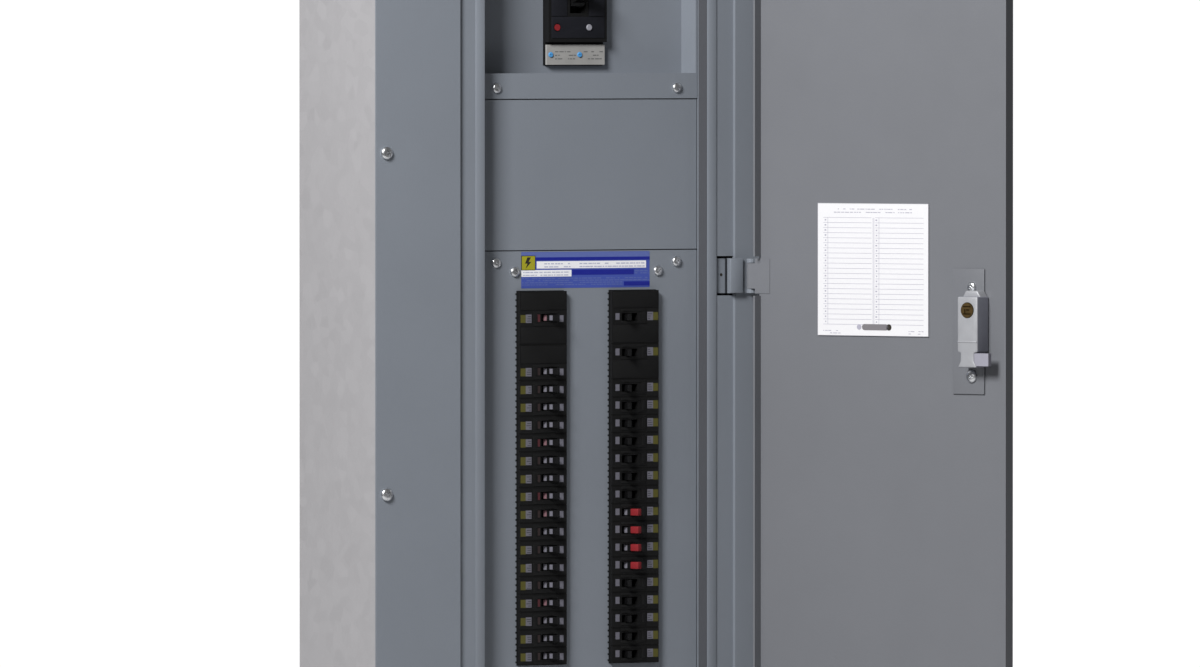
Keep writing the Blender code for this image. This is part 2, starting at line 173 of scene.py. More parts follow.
def galvanized(name, colour):
    """Zinc coat: soft spangle cells with a slightly different tone and gloss each."""
    material, shader = start_material(name, colour, 0.6, 0.12)
    cells = pattern(material, "ShaderNodeTexVoronoi", 75.0, Randomness=1.0)
    tones = add_node(material, "ShaderNodeSeparateColor")
    link(material, cells.outputs["Color"], tones.inputs["Color"])
    vary_colour(material, shader, tones.outputs["Red"], scaled(colour, 0.97), scaled(colour, 1.03))
    link(material, ramp(material, tones.outputs["Green"], 0.52, 0.66), shader.inputs["Roughness"])
    grain = pattern(material, "ShaderNodeTexNoise", 500.0, Detail=3.0)
    bump(material, shader, grain.outputs["Fac"], 0.10, 0.0002)
    return material


def moulding(name, colour, roughness, grain=900.0):
    """Moulded thermoset or plastic: a fine spark-eroded grain and flow marks."""
    material, shader = start_material(name, colour, roughness)
    shader.inputs["Specular IOR Level"].default_value = 0.22
    flow = pattern(material, "ShaderNodeTexNoise", 60.0, Detail=4.0)
    vary_colour(material, shader, flow.outputs["Fac"], scaled(colour, 0.85), scaled(colour, 1.18))
    fine = pattern(material, "ShaderNodeTexNoise", grain, Detail=2.0)
    bump(material, shader, fine.outputs["Fac"], 0.30, 0.0002)
    link(material, ramp(material, flow.outputs["Fac"], roughness - 0.06, roughness + 0.08),
         shader.inputs["Roughness"])
    return material


def metal(name, colour, roughness, streak=0.0):
    """Bare or plated metal with fine scratches, or a cast skin where streak is 0."""
    material, shader = start_material(name, colour, roughness, 1.0)
    wear = pattern(material, "ShaderNodeTexNoise", 180.0, Detail=6.0)
    vary_colour(material, shader, wear.outputs["Fac"], scaled(colour, 0.82), scaled(colour, 1.08))
    link(material, ramp(material, wear.outputs["Fac"], roughness - 0.08, roughness + 0.12),
         shader.inputs["Roughness"])
    fine = pattern(material, "ShaderNodeTexNoise", 1400.0, Detail=2.0, Distortion=streak)
    bump(material, shader, fine.outputs["Fac"], 0.18, 0.0001)
    return material


def cast(name, colour):
    """Painted die casting: soft sand-blasted grain under a thin silver coat."""
    material, shader = start_material(name, colour, 0.46, 0.25)
    clouds = pattern(material, "ShaderNodeTexNoise", 90.0, Detail=4.0)
    vary_colour(material, shader, clouds.outputs["Fac"], scaled(colour, 0.88), scaled(colour, 1.10))
    grain = pattern(material, "ShaderNodeTexNoise", 800.0, Detail=2.0)
    bump(material, shader, grain.outputs["Fac"], 0.35, 0.0003)
    return material


def printed(name, colour, roughness=0.5):
    """Ink or paper: nearly even, with the slight mottling of print on a fibrous sheet."""
    material, shader = start_material(name, colour, roughness)
    fibre = pattern(material, "ShaderNodeTexNoise", 700.0, Detail=3.0)
    vary_colour(material, shader, fibre.outputs["Fac"], scaled(colour, 0.95), scaled(colour, 1.04))
    bump(material, shader, fibre.outputs["Fac"], 0.05, 0.0001)
    return material


GREY_PAINT = paint("grey_paint", (0.185, 0.203, 0.232))
# The door's paint is a darker, less blue copy of the trim's grey; the darkening is painted shade that offsets
# the stronger light the open door catches.
DOOR_PAINT_DARKENED = paint("door_paint_with_painted_shade", (0.146, 0.151, 0.165))
# Much darker copy of the grey paint for the opening's right inner wall: painted shade.
SHADED_WALL_PAINT = paint("grey_paint_with_painted_shade_on_inner_wall", (0.066, 0.068, 0.076))
# Near-black grey for the hinges' gaps: painted shadow.
SHADOW_PAINT = paint("painted_shadow_in_gap", (0.020, 0.022, 0.026))
ZINC = galvanized("galvanized_sheet", (0.36, 0.353, 0.364))
BLACK = moulding("black_moulding", (0.0055, 0.0055, 0.0057), 0.52)
# Blacker strips for the grooves between breakers: painted shade.
SEAM_SHADE_BLACK = moulding("black_painted_shade_in_seams", (0.0010, 0.0010, 0.0010), 0.80)
BLACK_FACE = moulding("blue_black_face", (0.009, 0.0095, 0.013), 0.48)
BLACK_GLOSS = moulding("black_lever", (0.006, 0.006, 0.0065), 0.32)
GREY_PLASTIC = moulding("grey_moulding", (0.30, 0.295, 0.285), 0.45)
RED_PLASTIC = moulding("red_plastic", (0.20, 0.017, 0.021), 0.36)
BLUE_PLASTIC = moulding("blue_dial", (0.07, 0.27, 0.55), 0.36)
WHITE_PLASTIC = moulding("white_plastic", (0.24, 0.24, 0.27), 0.40)
ZINC_PLATE = metal("zinc_plated_screw", (0.74, 0.75, 0.77), 0.28)
CAST = cast("cast_latch", (0.36, 0.365, 0.385))
CAST_BOLT = cast("cast_bolt", (0.33, 0.325, 0.38))
# Darker copy of the latch's cast finish for its sides: painted shade.
CAST_SHADED_SIDE = cast("cast_latch_painted_shade_side", (0.260, 0.265, 0.310))
BRASS = metal("lock_brass", (0.22, 0.145, 0.060), 0.36)
BUS_METAL = metal("tin_plated_bus", (0.72, 0.73, 0.74), 0.34)
CARD_PAPER = printed("card_paper", (0.69, 0.685, 0.70), 0.55)
CARD_RULE = printed("card_rule", (0.40, 0.39, 0.46))
CARD_PRINT = printed("card_print", (0.36, 0.35, 0.42))
CARD_MARK = printed("card_mark", (0.17, 0.16, 0.17))
LABEL_BLUE = printed("label_blue", (0.045, 0.075, 0.345), 0.5)
LABEL_DARK = printed("label_dark_blue", (0.004, 0.010, 0.235), 0.5)
LABEL_TINT = printed("label_tint", (0.095, 0.130, 0.36), 0.5)
LABEL_WHITE = printed("label_white", (0.82, 0.82, 0.84), 0.42)
LABEL_YELLOW = printed("label_yellow", (0.33, 0.31, 0.012), 0.5)
# Dark print on labels and card; the same colour also stands for the dark inside of the hinges' holes and the
# lock's keyway: painted shade.
DARK_INK_AND_SHADE = printed("dark_ink_and_painted_shade", (0.02, 0.016, 0.01), 0.5)
MARK_YELLOW = printed("mark_yellow", (0.070, 0.064, 0.006), 0.6)
MARK_WHITE = printed("mark_white", (0.125, 0.122, 0.150), 0.6)
MARK_GREY = printed("mark_grey", (0.035, 0.035, 0.042), 0.6)
MARK_PINK = printed("mark_pink", (0.16, 0.075, 0.090), 0.6)
MARK_RED = printed("mark_red", (0.065, 0.012, 0.016), 0.5)
MARK_DULL = printed("mark_dull_red", (0.022, 0.012, 0.012), 0.5)
MARK_UNIT = printed("mark_on_trip_unit", (0.12, 0.12, 0.12), 0.5)
LABEL_PALE = printed("label_pale_print", (0.45, 0.46, 0.58), 0.45)
# Grey for the thin dark line round the card's edge: painted shadow.
CARD_SHADOW_EDGE = printed("card_painted_shadow_edge", (0.30, 0.30, 0.33))
BRASS_DARK = metal("lock_wards", (0.05, 0.032, 0.012), 0.45)


# ---------------------------------------------------------------- mesh helpers

def mesh_object(name, shape, material, smooth_angle=40):
    mesh = bpy.data.meshes.new(name)
    shape.to_mesh(mesh)
    shape.free()
    mesh.shade_smooth()
    mesh.set_sharp_from_angle(angle=radians(smooth_angle))
    item = bpy.data.objects.new(name, mesh)
    bpy.context.scene.collection.objects.link(item)
    item.data.materials.append(material)
    return item


def box_in(shape, low, high, bevel=0.0, segments=2):
    """Adds a box to the shape, with all its edges rounded when a bevel is given."""
    made = bmesh.ops.create_cube(shape, size=1.0)["verts"]
    low = Vector(low)
    high = Vector(high)
    bmesh.ops.scale(shape, vec=high - low, verts=made)
    bmesh.ops.translate(shape, vec=(high + low) / 2, verts=made)
    if bevel:
        edges = list({edge for vert in made for edge in vert.link_edges})
        bmesh.ops.bevel(shape, geom=edges, offset=bevel, offset_type="OFFSET", segments=segments,
                        profile=0.5, affect="EDGES")


def boxes(name, spans, material, bevel=0.0, segments=2):
    """One piece of separate rounded boxes, each given by its lowest and highest corners."""
    shape = bmesh.new()
    for low, high in spans:
        box_in(shape, low, high, bevel, segments)
    return mesh_object(name, shape, material)


def turned(name, profile, material, steps=28):
    """A profile of (radius, height) turned about -Y, with its foot at the origin."""
    shape = bmesh.new()
    previous = None
    for radius, height in profile:
        ring = []
        for step in range(steps):
            angle = 2 * pi * step / steps
            ring.append(shape.verts.new((radius * cos(angle), -height, radius * sin(angle))))
        if previous:
            for step in range(steps):
                after = (step + 1) % steps
                shape.faces.new((previous[step], previous[after], ring[after], ring[step]))
        else:
            shape.faces.new(ring)
        previous = ring
    shape.faces.new(list(reversed(previous)))
    bmesh.ops.recalc_face_normals(shape, faces=shape.faces)
    return mesh_object(name, shape, material)


def settle(item):
    """Replaces an object's mesh by what its modifiers make of it."""
    view = bpy.context.evaluated_depsgraph_get()
    mesh = bpy.data.meshes.new_from_object(item.evaluated_get(view))
    item.modifiers.clear()
    item.data = mesh


def cut_with(item, cutter):
    modifier = item.modifiers.new("cut", "BOOLEAN")
    modifier.operation = "DIFFERENCE"
    modifier.object = cutter
    settle(item)
    item.data.shade_smooth()
    item.data.set_sharp_from_angle(angle=radians(30))
    bpy.data.objects.remove(cutter, do_unlink=True)


def copy_of(item, name, place, turn=None):
    twin = bpy.data.objects.new(name, item.data)
    bpy.context.scene.collection.objects.link(twin)
    twin.matrix_world = Matrix.Translation(place) @ (turn or Matrix.Identity(4))
    return twin


def on_panel(item):
    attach(item, "panel")
    return item


def on_door(item, body="door"):
    item.matrix_world = DOOR_TURN @ item.matrix_world
    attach(item, body)
    return item


def closed_box(node):
    """The corners of a door piece's box with the door closed."""
    back = DOOR_TURN.inverted()
    points = [back @ vert.co for vert in nodes[node].data.vertices]
    low = Vector([min(point[axis] for point in points) for axis in range(3)])
    high = Vector([max(point[axis] for point in points) for axis in range(3)])
    return low, high


# ---------------------------------------------------------------- CAD finishes

def finish_node(name, material, edge=0.0, segments=2, angle=30):
    item = nodes[name]
    item.data.materials.clear()
    item.data.materials.append(material)
    item.data.shade_smooth()
    item.data.set_sharp_from_angle(angle=radians(angle))
    if edge:
        bevel = item.modifiers.new("rounded_edges", "BEVEL")
        bevel.width = edge
        bevel.segments = segments
        bevel.limit_method = "ANGLE"
        bevel.angle_limit = radians(40)
        bevel.use_clamp_overlap = True
        bevel.harden_normals = True


def finish_cad():
    for name in ("trim_front", "main_deadfront", "blank_plate", "branch_deadfront"):
        finish_node(name, GREY_PAINT, 0.0007)
    finish_node("door", DOOR_PAINT_DARKENED, 0.0006)
    for name in HINGES:
        finish_node(name, GREY_PAINT, 0.0005)
    finish_node("enclosure_box", ZINC, 0.0004)
    finish_node("interior_pan", ZINC, 0.0004)
    for name in ("phase_bus_a", "phase_bus_b", "phase_bus_c", "neutral_bar"):
        finish_node(name, BUS_METAL, 0.0003)
    finish_node("main_breaker_case", BLACK, 0.0006)
    finish_node("main_trip_unit", GREY_PLASTIC, 0.0005)
    finish_node("main_toggle", BLACK_GLOSS, 0.0007)
    finish_node("push_to_trip_button", RED_PLASTIC, 0.0004)
    for side in ("left", "right"):
        finish_node(side + "_breaker_bank", BLACK, 0.0004)
        for number in range(1, TOGGLES_PER_COLUMN + 1):
            finish_node("%s_toggle_%02d" % (side, number), BLACK_GLOSS, 0.0004)
    finish_node("lock_cylinder", BRASS, 0.0004)
    finish_node("latch_bolt", CAST_BOLT, 0.0020, 4)
    finish_node("latch_case", CAST, 0.0006)
    finish_node("directory_card", CARD_PAPER, 0.0)


# ---------------------------------------------------------------- screws

def screw_master():
    """A pan-head machine screw with a cross recess, facing -Y."""
    radius = SCREW_RADIUS
    profile = [(radius, -0.0004), (radius, 0.0006)]
    for step in range(1, 7):
        angle = pi / 2 * step / 7
        profile.append((radius * cos(angle) ** 0.6, 0.0006 + (SCREW_TALL - 0.0006) * sin(angle)))
    profile.append((radius * 0.12, SCREW_TALL))
    master = turned("screw_master", profile, ZINC_PLATE)
    shape = bmesh.new()
    arm = radius * 0.50
    thin = radius * 0.10
    box_in(shape, (-arm, -0.01, -thin), (arm, -SCREW_TALL * 0.45, thin))
    cross = mesh_object("recess", shape, ZINC_PLATE)
    cut_with(master, cross)
    shape = bmesh.new()
    box_in(shape, (-thin, -0.01, -arm), (thin, -SCREW_TALL * 0.45, arm))
    cross = mesh_object("recess", shape, ZINC_PLATE)
    cut_with(master, cross)
    return master


def place_screws(master):
    trim_low, trim_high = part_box("trim_front")
    front = trim_low.y
    spin = Random(4)
    edge = 0.0115
    heights = [height / 3 * 0.5 for height in (-3, -1, 1, 3)]
    for side in (-1, 1):
        for row, height in enumerate(heights):
            place = (side * (trim_high.x - edge), front, height)
            turn = Matrix.Rotation(spin.uniform(0, pi), 4, "Y")
            name = "trim_screw_%s_%d" % ("left" if side < 0 else "right", row + 1)
            on_panel(copy_of(master, name, place, turn @ Matrix.Scale(1.45, 4)))
    plate_low, plate_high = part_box("branch_deadfront")
    ledge_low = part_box("main_deadfront")[0]
    spots = {"deadfront_screw_outer": (0.104, plate_low.y, plate_high.z - 0.0113),
             "deadfront_screw_inner": (0.0825, plate_low.y, plate_high.z - 0.0203),
             "deadfront_screw_foot": (0.104, plate_low.y, plate_low.z + 0.0150),
             "ledge_screw": (0.104, ledge_low.y, ledge_low.z + 0.0105)}
    for name, (across, front, height) in spots.items():
        for side in (-1, 1):
            turn = Matrix.Rotation(spin.uniform(0, pi), 4, "Y")
            label = "%s_%s" % (name, "left" if side < 0 else "right")
            turn = turn @ Matrix.Scale(1.15, 4)
            on_panel(copy_of(master, label, (side * across, front, height), turn))


# ---------------------------------------------------------------- print on flat faces

def front_print(name, areas, face, layer, material):
    """Thin printed areas (x from, x to, z from, z to) on a face that looks along -Y."""
    front = face - STICKER * layer
    spans = [((x0, front, z0), (x1, face + 0.0001, z1)) for x0, x1, z0, z1 in areas]
    return on_panel(boxes(name, spans, material))


def inside_print(name, areas, face, layer, material, body="door"):
    """Thin printed areas on a face of the closed door that looks along +Y."""
    front = face + STICKER * layer
    spans = [((x0, face - 0.0001, z0), (x1, front, z1)) for x0, x1, z0, z1 in areas]
    return on_door(boxes(name, spans, material), body)


def extruded(name, points, near, far, material, bevel=0.0):
    """An outline of (x, z) points given thickness along Y, with rounded edges at its near end."""
    shape = bmesh.new()
    front = shape.faces.new([shape.verts.new((across, near, up)) for across, up in points])
    rear = shape.faces.new([shape.verts.new((across, far, up)) for across, up in points])
    count = len(points)
    for step in range(count):
        after = (step + 1) % count
        shape.faces.new((front.verts[step], front.verts[after], rear.verts[after], rear.verts[step]))
    bmesh.ops.recalc_face_normals(shape, faces=shape.faces)
    if bevel:
        edges = [edge for edge in shape.edges if not all(abs(vert.co.y - far) < 1e-7 for vert in edge.verts)]
        bmesh.ops.bevel(shape, geom=edges, offset=bevel, offset_type="OFFSET", segments=3, profile=0.5,
                        affect="EDGES")
    return mesh_object(name, shape, material)


def small_print(first, last, low, high, pitch, ink, spin, empty=0.10):
    """Rows of short dashes that stand for lines of small print."""
    areas = []
    height = high - pitch
    while height > low:
        across = first
        while across < last:
            length = spin.uniform(0.0012, 0.0052)
            if spin.random() > empty:
                areas.append((across, min(across + length, last), height, height + ink))
            across += length + spin.uniform(0.0006, 0.0014)
        height -= pitch
    return areas


# ---------------------------------------------------------------- branch breakers

def make_wide_label():
    """The generic label between the blank plate and the breakers."""
    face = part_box("branch_deadfront")[0].y
    left = -0.0749
    right = 0.0730
    front_print("label_sheet", [(left, right, 0.0328, 0.0684)], face, 1, LABEL_BLUE)
    front_print("label_top_band", [(left, right, 0.0631, 0.0682)], face, 2, LABEL_TINT)
    front_print("label_bars", [(-0.0572, 0.0689, 0.0521, 0.0592), (left, -0.0173, 0.0441, 0.0507)],
                face, 2, LABEL_WHITE)
    front_print("label_dark_areas", [(-0.0586, right, 0.0601, 0.0631), (-0.0166, 0.0548, 0.0456, 0.0507),
                                     (0.0433, right, 0.0345, 0.0387)], face, 2, LABEL_DARK)
    front_print("label_square_border", [(left, -0.0589, 0.0505, 0.0649)], face, 3, DARK_INK_AND_SHADE)
    front_print("label_square", [(left + 0.0006, -0.0595, 0.0511, 0.0643)], face, 4, LABEL_YELLOW)
    zigzag = [(-0.0682, 0.0632), (-0.0642, 0.0632), (-0.0668, 0.0588), (-0.0638, 0.0588),
              (-0.0702, 0.0522), (-0.0680, 0.0572), (-0.0708, 0.0572)]
    sign = extruded("label_zigzag", zigzag, face - 5 * STICKER, face - STICKER, DARK_INK_AND_SHADE)
    on_panel(sign)
    spin = Random(7)
    lines = small_print(left + 0.001, right - 0.001, 0.0395, 0.0440, 0.0021, 0.0009, spin)
    lines += small_print(left + 0.001, 0.0415, 0.0338, 0.0398, 0.0021, 0.0009, spin)
    lines += small_print(0.0560, right - 0.001, 0.0455, 0.0507, 0.0021, 0.0009, spin)
    front_print("label_small_print", lines, face, 2, LABEL_TINT)
    words = small_print(-0.0485, -0.0185, 0.0530, 0.0592, 0.0030, 0.0011, spin)
    words += small_print(-0.0080, 0.0672, 0.0530, 0.0592, 0.0030, 0.0011, spin)
    words += small_print(left + 0.002, -0.0195, 0.0448, 0.0507, 0.0028, 0.0010, spin)
    front_print("label_bar_print", words, face, 3, LABEL_PALE)


def breaker_rows(name):
    """(toggle node, first pole, pole count, height of the toggle) for each breaker of a column."""
    rows = []
    start = 0
    for number in range(1, TOGGLES_PER_COLUMN + 1):
        count = {1: 3, 2: 2}.get(number, 1)
        toggle = "%s_toggle_%02d" % (name, number)
        low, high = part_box(toggle)
        rows.append((toggle, start, count, (low.z + high.z) / 2))
        start += count
    return rows


def side_area(side, near, far, low, high):
    """A printed area between two distances from the middle, on the left (-1) or right (1)."""
    return (*sorted((side * near, side * far)), low, high)


def make_breaker_faces():
    """Raised pads and the small labels beside the levers."""
    low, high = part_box("right_breaker_bank")
    face = low.y
    spin = Random(21)
    for side, name in ((-1, "left"), (1, "right")):
        pads = []
        marks = {key: [] for key in ("yellow", "white", "inner", "rating", "flag", "dull_flag", "seam")}
        for toggle, start, count, height in breaker_rows(name):
            top = high.z - start * POLE_PITCH
            bottom = top - count * POLE_PITCH
            mid = height + side * 0.0007
            for rail in ((mid + 0.0046, mid + 0.0072), (mid - 0.0072, mid - 0.0046)):
                pads.append(side_area(side, 0.0362, 0.0652, *rail))
            pads.append(side_area(side, 0.0600, 0.0652, mid - 0.0046, mid + 0.0046))
            if top - 0.0016 > mid + 0.0092:
                pads.append(side_area(side, low.x + 0.001, high.x - 0.001, mid + 0.0085, top - 0.0012))
            if bottom + 0.0016 < mid - 0.0092:
                pads.append(side_area(side, low.x + 0.001, high.x - 0.001, bottom + 0.0012, mid - 0.0085))
            # A blacker strip along each seam between breakers: painted shade in the groove.
            seam = side_area(side, low.x + 0.0004, high.x - 0.0004, bottom - 0.0011, bottom + 0.0007)
            marks["seam"].append(seam)
            wobble = spin.uniform(-0.0005, 0.0005)
            marks["yellow"].append(side_area(side, 0.0735, 0.0793, mid - 0.0040, mid + 0.0040 + wobble))
            marks["white"].append(side_area(side, 0.0668, 0.0734, mid - 0.0038 + wobble, mid + 0.0041))
            marks["inner"].append(side_area(side, 0.0300, 0.0346, mid - 0.0035, mid + 0.0034 + wobble))
            for line in range(3):
                level = mid - 0.0026 + 0.0022 * line
                across = 0.0674 + spin.uniform(0.0022, 0.0052)
                marks["rating"].append(side_area(side, 0.0674, across, level, level + 0.0007))
            if side < 0:
                kind = "flag" if toggle[-2:] in FLAGGED_TOGGLES else "dull_flag"
                marks[kind].append(side_area(side, 0.0570, 0.0598, mid - 0.0032, mid + 0.0040))
        front = face - 0.0006
        spans = [((x0, front, z0), (x1, face + 0.0002, z1)) for x0, x1, z0, z1 in pads]
        on_panel(boxes(name + "_breaker_pads", spans, BLACK, 0.0003))
        front_print(name + "_breaker_painted_seam_shade", marks["seam"][:-1], face, 0.5, SEAM_SHADE_BLACK)
        front_print(name + "_yellow_marks", marks["yellow"], face, 1, MARK_YELLOW)
        front_print(name + "_white_marks", marks["white"], face, 1, MARK_WHITE)
        front_print(name + "_inner_marks", marks["inner"], face, 1, MARK_WHITE)
        front_print(name + "_rating_lines", marks["rating"], face, 2, MARK_GREY)
        if side < 0:
            front_print("trip_flags", marks["flag"], face, 1, MARK_RED)
            front_print("dull_trip_flags", marks["dull_flag"], face, 1, MARK_DULL)


def hub_mark(name, radius, start, sweep, tall, material):
    """A curved printed patch on a lever's round hub, about the Z axis. Angle 0 is the lever."""
    shape = bmesh.new()
    steps = 6
    rings = []
    for step in range(steps + 1):
        angle = start + sweep * step / steps
        ring = []
        for reach in (radius - 0.0002, radius + 0.0001):
            for height in (-tall / 2, tall / 2):
                ring.append(shape.verts.new((reach * sin(angle), -reach * cos(angle), height)))
        rings.append(ring)
    for here, there in zip(rings, rings[1:]):
        for a, b in ((0, 1), (1, 3), (3, 2), (2, 0)):
            shape.faces.new((here[a], here[b], there[b], there[a]))
    for ring in (rings[0], rings[-1]):
        shape.faces.new((ring[0], ring[1], ring[3], ring[2]))
    bmesh.ops.recalc_face_normals(shape, faces=shape.faces)
    return mesh_object(name, shape, material)


def make_toggle_marks():
    """White print on every lever's hub, grey as painted shade on the right levers that are on, a white patch
    on the left levers' flanks that is partly print and partly painted highlight, and red caps on four levers.
    """
    for side, name in ((-1, "left"), (1, "right")):
        for row in breaker_rows(name):
            toggle = row[0]
            joint = joints[toggle + "_switch"]
            off = side > 0 and joint["range_deg"][0] < -1
            tilt = radians(-20) if (side > 0) != off else radians(20)
            place = Matrix.Translation(Vector(joint["pos_m"])) @ Matrix.Rotation(tilt, 4, "Z")
            lean = 1 if tilt > 0 else -1
            ink = MARK_WHITE
            if side < 0 and toggle[-2:] in (*FLAGGED_TOGGLES, "10"):
                ink = MARK_PINK
            # Right levers that are on get grey hub print instead of white: painted shade on the same print.
            if side > 0 and not off:
                ink = MARK_GREY
            start = -lean * radians(44)
            sweep = -lean * radians(36)
            pieces = [hub_mark(toggle + "_hub_print", 0.0052, start, sweep, 0.0056, ink)]
            # A white patch on each left lever's flank: partly print, partly painted highlight where that
            # flank faces the lamp.
            if side < 0:
                spans = [((-0.00275, -0.0105, -0.0024), (-0.0021, -0.0058, 0.0024))]
                pieces.append(boxes(toggle + "_flank_print_and_highlight", spans, MARK_WHITE))
            if off:
                spans = [((-0.0028, -0.0167, -0.0034), (0.0028, -0.0068, 0.0034))]
                pieces.append(boxes(toggle + "_red_cap", spans, RED_PLASTIC, 0.0006))
            for piece in pieces:
                piece.matrix_world = place
                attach(piece, toggle)


def make_window_teeth():
    """The small scallops along the upright edges of the breaker windows."""
    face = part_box("branch_deadfront")[0].y
    low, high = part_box("right_breaker_bank")
    areas = []
    for side in (-1, 1):
        for edge in (low.x - 0.0005, high.x + 0.0017):
            for step in range(3 * POLES):
                height = high.z - (step + 0.5) * POLE_PITCH / 3
                areas.append(side_area(side, edge - 0.0012, edge, height - 0.0009, height + 0.0009))
    front_print("window_scallops", areas, face, 0.4, BLACK)


# ---------------------------------------------------------------- main breaker

def make_main_breaker_face():
    """The inset face, its generic marks, the pale test plug and the setting dials."""
    low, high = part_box("main_breaker_case")
    face = low.y
    toggle = Vector(joints["main_switch"]["pos_m"])
    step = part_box("main_trip_unit")[1].z + 0.003
    left = low.x + 0.0030
    right = high.x - 0.0030
    front = face - 0.0008
    rear = face + 0.0004
    spans = [((left, front, step + 0.0035), (right, rear, toggle.z - 0.0165)),
             ((left, front, toggle.z + 0.0165), (right, rear, high.z - 0.0040)),
             ((left, front, toggle.z - 0.0160), (-0.0125, rear, toggle.z + 0.0160)),
             ((0.0125, front, toggle.z - 0.0160), (right, rear, toggle.z + 0.0160))]
    plates = boxes("main_breaker_face_plates", spans, BLACK_FACE, 0.0005)
    red_low, red_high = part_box("push_to_trip_button")
    centre = (red_low + red_high) / 2
    hole = turned("button_hole", [(0.0041, -0.01), (0.0041, 0.01)], BLACK)
    hole.location = (centre.x, face, centre.z)
    bpy.context.view_layer.update()
    cut_with(plates, hole)
    on_panel(plates)
    profile = [(0.0031, -0.0004), (0.0031, 0.0009), (0.0026, 0.0014), (0.0004, 0.0014)]
    plug = turned("test_plug", profile, WHITE_PLASTIC)
    plug.location = (0.0123, front, centre.z)
    on_panel(plug)
    marks = small_print(low.x + 0.006, high.x - 0.006, toggle.z + 0.0200, high.z - 0.008, 0.0046, 0.0012,
                        Random(3), 0.5)
    front_print("main_breaker_print", marks, front, 1, MARK_GREY)
    unit_low, unit_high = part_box("main_trip_unit")
    middle = (unit_low.z + unit_high.z) / 2
    for number, across in enumerate((-0.0291, 0.0042), 1):
        profile = [(0.0026, -0.0002), (0.0026, 0.0008), (0.0021, 0.0012), (0.0003, 0.0012)]
        dial = turned("setting_dial_%d" % number, profile, BLUE_PLASTIC)
        slot_cut = boxes("dial_slot", [((-0.0018, -0.004, -0.0003), (0.0018, -0.0008, 0.0003))], BLUE_PLASTIC)
        cut_with(dial, slot_cut)
        dial.location = (across, unit_low.y, middle)
        on_panel(dial)
    lines = small_print(-0.024, 0.000, middle - 0.006, middle + 0.006, 0.0035, 0.0009, Random(5), 0.35)
    lines += small_print(0.009, unit_high.x - 0.002, middle - 0.006, middle + 0.006, 0.0035, 0.0009,
                         Random(6), 0.35)
    front_print("trip_unit_print", lines, unit_low.y, 1, MARK_UNIT)


# ---------------------------------------------------------------- door

def make_card_print():
    """Ruled rows in two columns, header dashes, row marks, and a round-ended bar at the foot."""
    low, high = closed_box("directory_card")
    face = high.y
    edge = 0.0004
    # The thin dark line round the card's edge is painted shadow.
    border = [(low.x, high.x, low.z, low.z + edge), (low.x, high.x, high.z - edge, high.z),
              (low.x, low.x + edge, low.z, high.z), (high.x - edge, high.x, low.z, high.z)]
    inside_print("card_painted_shadow_edges", border, face, 1, CARD_SHADOW_EDGE)
    top = high.z - 0.0142
    pitch = 0.0050
    rules = []
    for row in range(22):
        height = top - row * pitch
        for start, end in ((low.x + 0.0060, low.x + 0.0645), (low.x + 0.0690, high.x - 0.0070)):
            rules.append((start, end, height - 0.00020, height + 0.00020))
    foot = top - 21 * pitch
    for across in (high.x - 0.0125, low.x + 0.0672, low.x + 0.0660, low.x + 0.0600):
        rules.append((across - 0.00020, across + 0.00020, foot, top))
    inside_print("card_rules", rules, face, 1, CARD_RULE)
    spin = Random(12)
    header = small_print(low.x + 0.020, high.x - 0.020, high.z - 0.0125, high.z - 0.0030, 0.0032, 0.0008,
                         spin, 0.25)
    inside_print("card_header", header, face, 1, CARD_PRINT)
    numbers = []
    for row in range(21):
        height = top - (row + 0.62) * pitch
        for across in (high.x - 0.0105, low.x + 0.0622):
            numbers.append((across, across + spin.uniform(0.0011, 0.0021), height, height + 0.0014))
    inside_print("card_row_numbers", numbers, face, 1, CARD_PRINT)
    feet = []
    for first, last in ((high.x - 0.0280, high.x - 0.0070), (low.x + 0.0060, low.x + 0.0240)):
        feet += small_print(first, last, low.z + 0.0015, low.z + 0.0070, 0.0024, 0.0007, spin, 0.4)
    inside_print("card_foot_print", feet, face, 1, CARD_PRINT)
    for name, near, far, radius, material in (("card_foot_bar", 0.0270, 0.0010, 0.0030, CARD_MARK),
                                              ("card_foot_dot", -0.0025, -0.0027, 0.0031, DARK_INK_AND_SHADE),
                                              ("card_foot_ring", 0.0336, 0.0334, 0.0026, CARD_PRINT)):
        outline = []
        for centre, start in ((near, -pi / 2), (far, pi / 2)):
            for step in range(9):
                angle = start + pi * step / 8
                outline.append((centre + radius * cos(angle), low.z + 0.0087 + radius * sin(angle)))
        on_door(extruded(name, outline, face + 2 * STICKER, face - STICKER, material))


